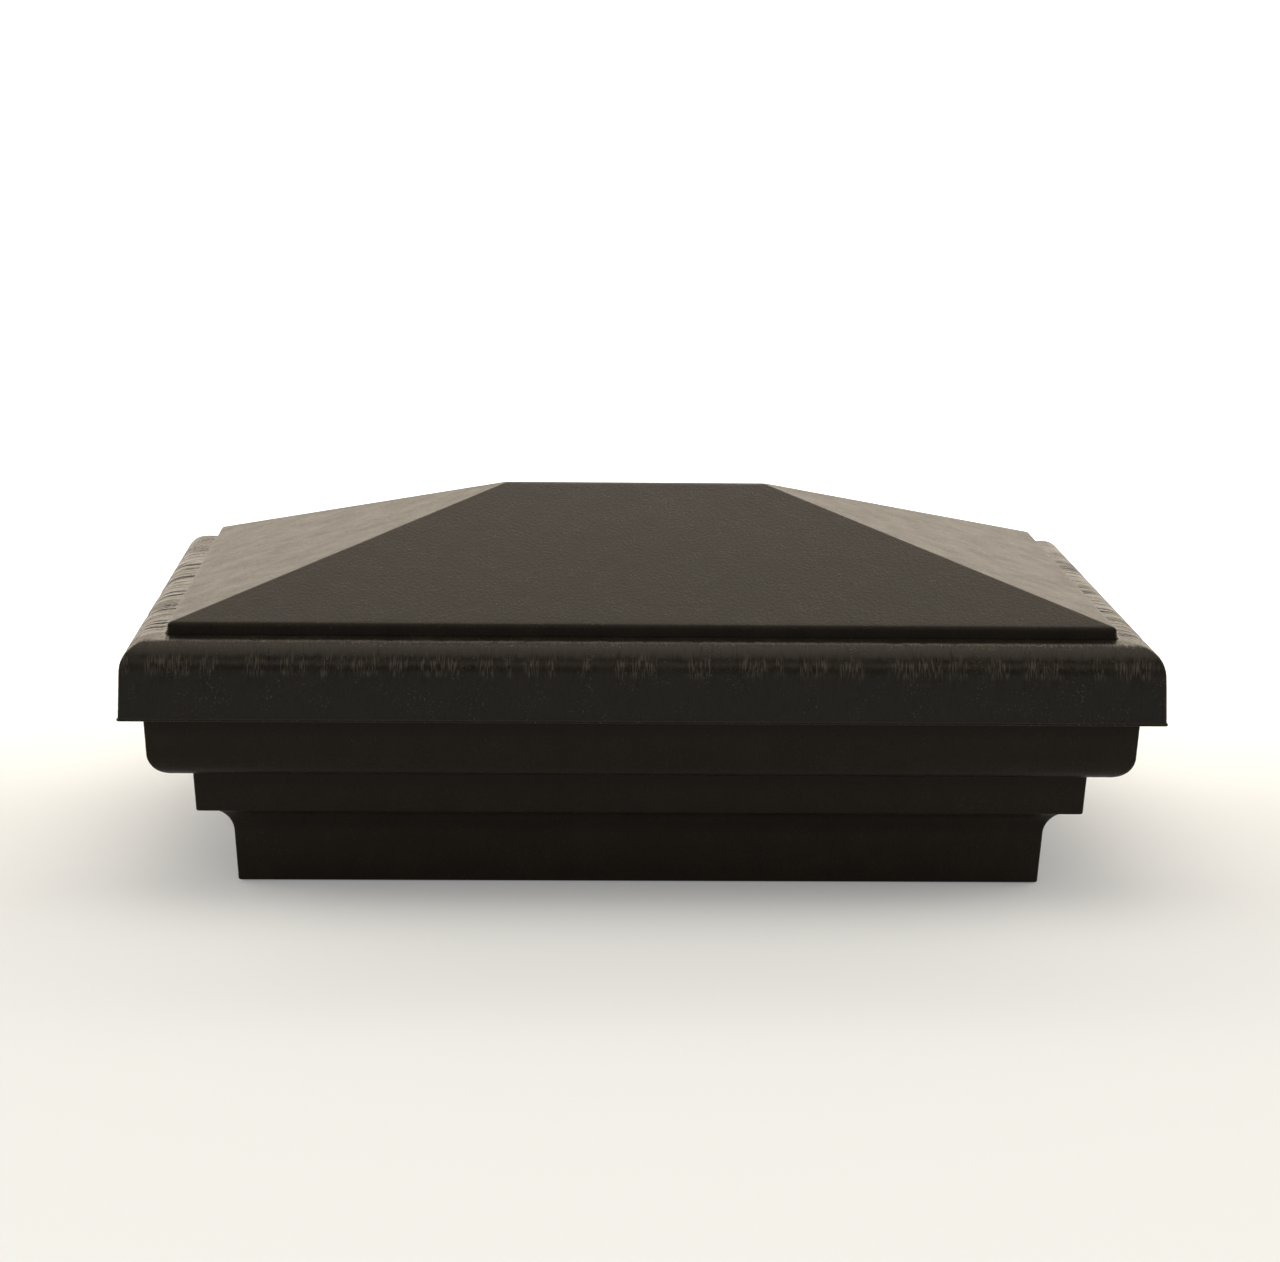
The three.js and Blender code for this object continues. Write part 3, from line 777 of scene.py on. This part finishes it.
# Stiffening ribs and screw bosses under the slopes.
WEB_HALF = 1.0
RIDGE_END = 25.4
ribs = blocks("ribs", [((-87, -WEB_HALF, PANEL_BOTTOM), (87, WEB_HALF, RIDGE_Z))], bevel=0)
for middle in (-RIDGE_END, RIDGE_END):
    span = ((middle - WEB_HALF, -61, PANEL_BOTTOM), (middle + WEB_HALF, 61, RIDGE_Z))
    combine(ribs, blocks("rib", [span], bevel=0), "UNION")
combine(ribs, under_roof("rib_top", 1.3, 1.3, PANEL_BOTTOM - 5), "INTERSECT")
combine(ribs, under_roof("rib_foot", 6.6, 6.6, PANEL_BOTTOM - 15), "DIFFERENCE")
combine(roof, ribs, "UNION")
boss_profile = [(0, PANEL_BOTTOM), (3.8, PANEL_BOTTOM), (4.1, PANEL_BOTTOM + 0.3), (4.1, RIDGE_Z),
                (0, RIDGE_Z)]
bosses = turned("roof_bosses", boss_profile, ear_places)
combine(bosses, under_roof("boss_top", 1.3, 1.3, PANEL_BOTTOM - 5), "INTERSECT")
combine(roof, bosses, "UNION")
pilot = [(0, 40), (1.9, 40), (1.9, 54.2), (0, 54.8)]
combine(roof, turned("pilots", pilot, ear_places), "DIFFERENCE")
finish_piece(roof, "crown", roof_plastic, ["roof_panel"], 12)


# ---------------------------------------------------------------- base moulding

SLEEVE_OUT = 3.8
SOCKET_OUT = 1.6
SOCKET_DEPTH = 24.0
DECK_TOP = 27.0
base_outside = [
    (6.65, 0.0, 0.35), (7.30, 9.3, 0.12),
    *arc(13.0, 9.3, 5.7, 172, 90, 12),
    (13.95, 15.0, 0.35), (14.52, 23.1, 0.25), (17.2, 23.1, 0),
    *arc(17.52, 28.0, 4.9, -86, 0, 15),
    (22.92, 35.2, 0.3), (21.25, 35.2, 0.2), (21.25, RIM_TOP, 0.5),
]
base_corners = [
    (CENTRE, SOCKET_DEPTH, 0), (SOCKET_OUT, SOCKET_DEPTH, 0.5), (SOCKET_OUT, 1.0, 0.3), (2.6, 0.0, 0.25),
    *base_outside,
    (18.45, RIM_TOP, 0.5), (18.45, 25.9, 2.1), (11.15, 25.9, 0.4), (11.15, 17.6, 0.3),
    *arc(13.0, 9.3, 8.5, 104, 149, 7),
    (5.61, 13.5, 0.3), (SLEEVE_OUT, 13.5, 0.4), (SLEEVE_OUT, DECK_TOP, 0.4), (CENTRE, DECK_TOP, 0),
]


def base_relief(points, outward, run):
    """Faint drag lines of the mould on the outside, straight up the faces."""
    along = side_coordinates(points, outward)
    out = projection(points)
    height = points[..., 2]
    outer = smooth_step(6.0, 6.6, out) * smooth_step(0.6, 1.6, height) * (run < outer_run)
    return outer * 0.02 * (noise(along / 0.9, height / 9.0, 21) - 0.5)


base_profile = rounded_profile(
    base_corners, lambda a, b: 3.0 if min(a[0], b[0]) > 0 else 9.0, arc_segments=3, closed=False)
base_steps = np.linalg.norm(np.diff(base_profile, axis=0), axis=1)
rim_row = int(np.argmax(base_profile[:, 1] > 35.0))
outer_run = float(base_steps[:rim_row].sum())
density = ((180, 126, 3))
base = sweep("base_shell", base_profile, 0.4, *density, relief=base_relief)

outside_profile = np.array([(CENTRE, 0.3)] + [(p - 0.6, z + 0.3) for p, z, _ in base_outside[:-1]]
                           + [(20.6, RIM_TOP - 0.5), (CENTRE, RIM_TOP - 0.5)])
# Webs that stiffen the hollow between the sleeve and the mouldings.
WEB_BOTTOM, WEB_TOP = 12.5, 36
web_spans = [((x - WEB_HALF, -66, WEB_BOTTOM), (x + WEB_HALF, 66, WEB_TOP)) for x in (-30, 30)]
webs = blocks("webs", web_spans, bevel=0)
for y in (-20.45, 20.45):
    span = ((-91, y - WEB_HALF, WEB_BOTTOM), (91, y + WEB_HALF, WEB_TOP))
    combine(webs, blocks("web", [span], bevel=0), "UNION")
combine(webs, sweep("web_limit", outside_profile, 0.2), "INTERSECT")
above_deck = np.array([(CENTRE, DECK_TOP - 0.5), (SLEEVE_OUT, DECK_TOP - 0.5), (SLEEVE_OUT, 40),
                       (CENTRE, 40)])
combine(webs, sweep("above_deck", above_deck, 0.1), "DIFFERENCE")
socket_space = np.array([(CENTRE, -2), (SOCKET_OUT + 1, -2), (SOCKET_OUT + 1, DECK_TOP),
                         (CENTRE, DECK_TOP)])
combine(webs, sweep("socket_space", socket_space, 0.1), "DIFFERENCE")
combine(base, webs, "UNION")

# Round sockets for the crown's pegs.
SOCKET_RIM = 39.0
sockets = turned("peg_sockets", [(0, WEB_BOTTOM), (6.5, WEB_BOTTOM), (6.5, SOCKET_RIM - 0.3),
                                 (6.2, SOCKET_RIM), (0, SOCKET_RIM)], peg_places)
combine(sockets, sweep("socket_limit", outside_profile, 0.2), "INTERSECT")
combine(base, sockets, "UNION")

# Screw bosses on the deck and the ribs between them. They start inside the deck.
BOSS_FOOT, BOSS_TOP = 24.6, 30.0
RIB_TOP = BOSS_TOP - 0.05
boss = [(0, BOSS_FOOT), (5.6, BOSS_FOOT), (5.6, BOSS_TOP - 0.3), (5.3, BOSS_TOP), (0, BOSS_TOP)]
combine(base, turned("deck_bosses", boss, boss_places), "UNION")
boss_x, boss_y = abs(boss_places[0][0]), abs(boss_places[0][1])
for side in (-1, 1):
    for span in (
        ((-boss_x, side * boss_y - WEB_HALF, BOSS_FOOT), (boss_x, side * boss_y + WEB_HALF, RIB_TOP)),
        ((side * boss_x - WEB_HALF, -boss_y, BOSS_FOOT), (side * boss_x + WEB_HALF, boss_y, RIB_TOP)),
    ):
        combine(base, blocks("deck_rib", [span], bevel=0), "UNION")

# Crush ribs that centre the post, then the screw holes, the bores for the pegs and the ejector marks.
wall_x, wall_y = POST_HALF + SOCKET_OUT
crush_places = [(sx * 47.85, sy * wall_y) for sx in (-1, 1) for sy in (-1, 1)]
crush_places += [(sx * wall_x, sy * 22.45) for sx in (-1, 1) for sy in (-1, 1)]
crush = [(0, 3.0), (0.3, 3.0), (1.2, 5.4), (1.2, DECK_TOP - 1), (0, DECK_TOP - 1)]
combine(base, turned("crush_ribs", crush, crush_places, 32), "UNION")
combine(base, plug("screw_holes", boss_places, 2.4, 22, 32), "DIFFERENCE")
peg_bore = [(0, 28.0), (4.3, 28.0), (4.5, 28.2), (4.5, SOCKET_RIM - 0.3), (4.8, SOCKET_RIM), (4.8, 41),
            (0, 41)]
combine(base, turned("peg_bores", peg_bore, peg_places), "DIFFERENCE")
ejector_places = [(sx * 30, sy * 14) for sx in (-1, 0, 1) for sy in (-1, 1)]
ejector_marks = plug("ejector_marks", ejector_places, 3.0, SOCKET_DEPTH - 2, SOCKET_DEPTH + 0.15)
combine(base, ejector_marks, "DIFFERENCE")
finish_piece(base, "base", warm_lit_base_plastic, ["base_moulding"])


# ---------------------------------------------------------------- screws, washers and bushes

def threaded_screw(name, place, tip, under_head, radius, pitch, taper, head_radius, head_height, down):
    """A pan-head screw with a cross recess; down is 1 when the head is above its tip, or -1."""
    segments, per_turn = ((40, 10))
    length = under_head - tip
    rows = int(length / pitch * per_turn)
    heights = np.linspace(0, length, rows + 1)
    angles = np.arange(segments) * 2 * math.pi / segments
    z, a = np.meshgrid(heights, angles, indexing="ij")
    saw = np.abs(((z / pitch - down * a / (2 * math.pi)) % 1) - 0.5) * 2
    crest_share = smooth_step(0.45, 0.95, 1 - saw)
    depth = radius * 0.26 * smooth_step(length - 0.4, length - 1.6, z)
    core = radius - depth * (1 - crest_share)
    point = np.clip(0.3 + 0.7 * z / taper, 0, 1)
    ring_radius = core * point
    points = np.dstack([ring_radius * np.cos(a), ring_radius * np.sin(a), z])
    faces = grid_faces(rows + 1, segments)
    faces.append(list(range(segments))[::-1])
    faces.append((rows * segments + np.arange(segments)).tolist())
    shank = mesh_piece(name, points, faces)
    cheek, dome = head_height * 0.5, head_height * 0.8
    overlap = 0.3
    head = turned(name + "_head", [
        (0, length - overlap), (radius * 0.9, length - overlap), (radius * 0.9, length),
        (head_radius - 0.15, length),
        (head_radius, length + 0.15), (head_radius, length + cheek - 0.1),
        (head_radius * 0.985, length + cheek + 0.12), (head_radius * 0.9, length + dome - 0.12),
        (head_radius * 0.84, length + dome), (head_radius * 0.62, length + head_height - 0.04),
        (head_radius * 0.4, length + head_height), (0, length + head_height)], [(0, 0)])
    combine(shank, head, "UNION")
    arm, slot = head_radius * 0.56, head_radius * 0.13
    top_z, floor_z = length + head_height + 1, length + head_height * 0.42
    for x, y in ((arm, slot), (slot, arm)):
        recess = blocks(name + "_recess", [((-x, -y, floor_z), (x, y, top_z))], bevel=0)
        for vert in recess.data.vertices:
            if vert.co.z < floor_z + 0.1:
                vert.co.x *= 0.55 if abs(vert.co.x) > slot * 1.5 else 0.8
                vert.co.y *= 0.55 if abs(vert.co.y) > slot * 1.5 else 0.8
        combine(shank, recess, "DIFFERENCE")
    if down < 0:
        shank.data.transform(Matrix.Rotation(math.pi, 4, "X"))
    foot = tip + length if down < 0 else tip
    shank.data.transform(Matrix.Translation((*place, foot)))
    return shank


HEAD_HEIGHT = 2.6
WASHER_BORE = 2.4
for i in range(1, 5):
    low, high = node_box(f"post_screw_{i}")
    place = ((low[0] + high[0]) / 2, (low[1] + high[1]) / 2)
    screw = threaded_screw(
        f"fixing_screw_{i}", place, tip=low[2], under_head=high[2] - HEAD_HEIGHT, radius=2.1, pitch=1.8,
        taper=4.5, head_radius=(high[0] - low[0]) / 2, head_height=HEAD_HEIGHT, down=1)
    finish_piece(screw, "base", screw_steel, [f"post_screw_{i}"])
    low, high = node_box(f"seal_washer_{i}")
    washer_profile = ring_profile(WASHER_BORE, (high[0] - low[0]) / 2, low[2], high[2], 0.35)
    washer = turned_ring(f"washer_{i}", washer_profile, place)
    finish_piece(washer, "base", seal_rubber, [f"seal_washer_{i}"])
for i, (x, y, _) in enumerate(grommets, start=1):
    low, high = node_box(f"peg_grommet_{i}")
    outer, wall_out, bore = (high[0] - low[0]) / 2, 4.2, 3.3
    flange = high[2] - 1.4
    profile = [
        (bore + 0.25, low[2]), (wall_out - 0.25, low[2]), (wall_out, low[2] + 0.25),
        (wall_out, flange - 0.2), (wall_out + 0.1, flange), (outer - 0.3, flange),
        (outer, flange + 0.3), (outer, high[2] - 0.4),
        (outer - 0.4, high[2]), (bore + 0.3, high[2]), (bore, high[2] - 0.3), (bore, low[2] + 0.25),
    ]
    bush = turned_ring(f"bush_{i}", profile, (float(x), float(y)))
    finish_piece(bush, "base", seal_rubber, [f"peg_grommet_{i}"])
ROOF_HEAD = 2.2
for i in range(1, 7):
    low, high = node_box(f"roof_screw_{i}")
    place = ((low[0] + high[0]) / 2, (low[1] + high[1]) / 2)
    length = high[2] - low[2] - ROOF_HEAD
    screw = threaded_screw(
        f"panel_screw_{i}", place, tip=low[2] + ROOF_HEAD, under_head=low[2] + ROOF_HEAD + length,
        radius=1.6, pitch=1.3, taper=1.0, head_radius=(high[0] - low[0]) / 2, head_height=ROOF_HEAD,
        down=-1)
    finish_piece(screw, "crown", screw_steel, [f"roof_screw_{i}"])


# ---------------------------------------------------------------- floor, light and camera

WARM_LIGHT = (1.0, 0.88, 0.72)


# The floor glows, faintly in front and strongly behind: painted light. It is darker in front: painted
# shade that holds bounce light off the lower faces.
def glowing_floor_material():
    nodes = Nodes("glowing_pale_floor")
    depth = nodes.add("ShaderNodeSeparateXYZ", Vector=nodes.position_mm()).outputs[1]
    # Darker in front of the object: painted shade.
    nodes.feed(nodes.shader, "Base Color", nodes.colour_mix(
        nodes.ramp(depth, -150.0, 250.0), (0.55, 0.60, 0.665), (0.88, 0.92, 0.96)))
    nodes.shader.inputs["Roughness"].default_value = 0.9
    nodes.shader.inputs["Specular IOR Level"].default_value = 0.1
    nodes.shader.inputs["Emission Color"].default_value = (0.96, 0.98, 1.0, 1)
    # The floor's glow: painted light.
    nodes.feed(nodes.shader, "Emission Strength", nodes.ramp(depth, 60.0, 420.0, 0.20, 0.80))
    return nodes.material


FLOOR_REACH = 9.0
floor_mesh = bpy.data.meshes.new("floor")
floor_mesh.from_pydata(
    [(-FLOOR_REACH, -FLOOR_REACH, 0), (FLOOR_REACH, -FLOOR_REACH, 0), (FLOOR_REACH, FLOOR_REACH, 0),
     (-FLOOR_REACH, FLOOR_REACH, 0)], [], [(0, 1, 2, 3)])
floor = bpy.data.objects.new("floor", floor_mesh)
bpy.context.scene.collection.objects.link(floor)
floor.location.z = -0.0002
floor_mesh.materials.append(glowing_floor_material())

world = bpy.data.worlds.new("studio")
bpy.context.scene.world = world
world.use_nodes = True
tree = world.node_tree
background = tree.nodes["Background"]
direction = tree.nodes.new("ShaderNodeTexCoord").outputs["Generated"]
parts = tree.nodes.new("ShaderNodeSeparateXYZ")
tree.links.new(direction, parts.inputs[0])


def world_range(value, low, high, from_value, to_value):
    """Maps one part of the direction to a strength."""
    node = tree.nodes.new("ShaderNodeMapRange")
    node.interpolation_type = "SMOOTHSTEP"
    tree.links.new(value, node.inputs["Value"])
    set_range(node, low, high, from_value, to_value)
    return node.outputs["Result"]


def world_math(operation, a, b):
    node = tree.nodes.new("ShaderNodeMath")
    node.operation = operation
    tree.links.new(a, node.inputs[0])
    tree.links.new(b, node.inputs[1])
    return node.outputs[0]


# A glow behind the object that is strongest near the horizon, a brighter strip above it, little light
# from in front, and a glow from overhead.
low_glow = world_range(parts.outputs[2], 0.12, 0.80, 2.12, 0.10)
from_behind = world_range(parts.outputs[1], -0.45, 0.15, 0.07, 1.0)
overhead_glow = world_range(parts.outputs[2], 0.74, 0.90, 0.0, 1.90)
strip = world_math("MULTIPLY", world_range(parts.outputs[2], 0.38, 0.48, 0.0, 4.4),
                   world_range(parts.outputs[2], 0.50, 0.58, 1.0, 0.0))
behind = world_math("MULTIPLY", world_math("ADD", low_glow, strip), from_behind)
strength = world_math("MAXIMUM", behind, overhead_glow)
tree.links.new(strength, background.inputs["Strength"])
background.inputs["Color"].default_value = (*WARM_LIGHT, 1)


LAMP_PLACE, LAMP_TARGET = Vector((0.0, -1.30, 0.80)), Vector((0, 0, 0.03))
lamp = bpy.data.lights.new("front_fill", "AREA")
lamp.shape = "RECTANGLE"
lamp.size, lamp.size_y = 2.4, 0.45
lamp.energy = 4.8
lamp.color = WARM_LIGHT
front_fill = bpy.data.objects.new("front_fill", lamp)
bpy.context.scene.collection.objects.link(front_fill)
front_fill.location = LAMP_PLACE
front_fill.rotation_mode = "QUATERNION"
front_fill.rotation_quaternion = (LAMP_TARGET - LAMP_PLACE).to_track_quat("-Z", "Y")

scene = bpy.context.scene
scene.view_settings.view_transform = "Standard"
scene.view_settings.look = "None"
scene.view_settings.exposure = 0.0
scene.view_settings.gamma = 1.0

PITCH, ROLL, YAW = math.radians(9.7), math.radians(0.62), math.radians(1.77)
LENS_MM, SENSOR_MM = 106.059375, 36
CAMERA_PLACE = Vector((-0.0221, -0.7545, 0.1689))
forward = Vector((math.sin(YAW) * math.cos(PITCH), math.cos(YAW) * math.cos(PITCH), -math.sin(PITCH)))
sideways = Vector((math.cos(YAW), -math.sin(YAW), 0))
upward = sideways.cross(forward)
right = sideways * math.cos(ROLL) + upward * math.sin(ROLL)
up = -sideways * math.sin(ROLL) + upward * math.cos(ROLL)
lens = bpy.data.cameras.new("camera")
lens.sensor_width = SENSOR_MM
lens.sensor_fit = "AUTO"
lens.lens = LENS_MM
lens.clip_start, lens.clip_end = 0.05, 50
camera = bpy.data.objects.new("camera", lens)
bpy.context.scene.collection.objects.link(camera)
basis = Matrix((right, up, -forward)).transposed().to_4x4()
camera.matrix_world = Matrix.Translation(CAMERA_PLACE) @ basis
bpy.context.scene.camera = camera
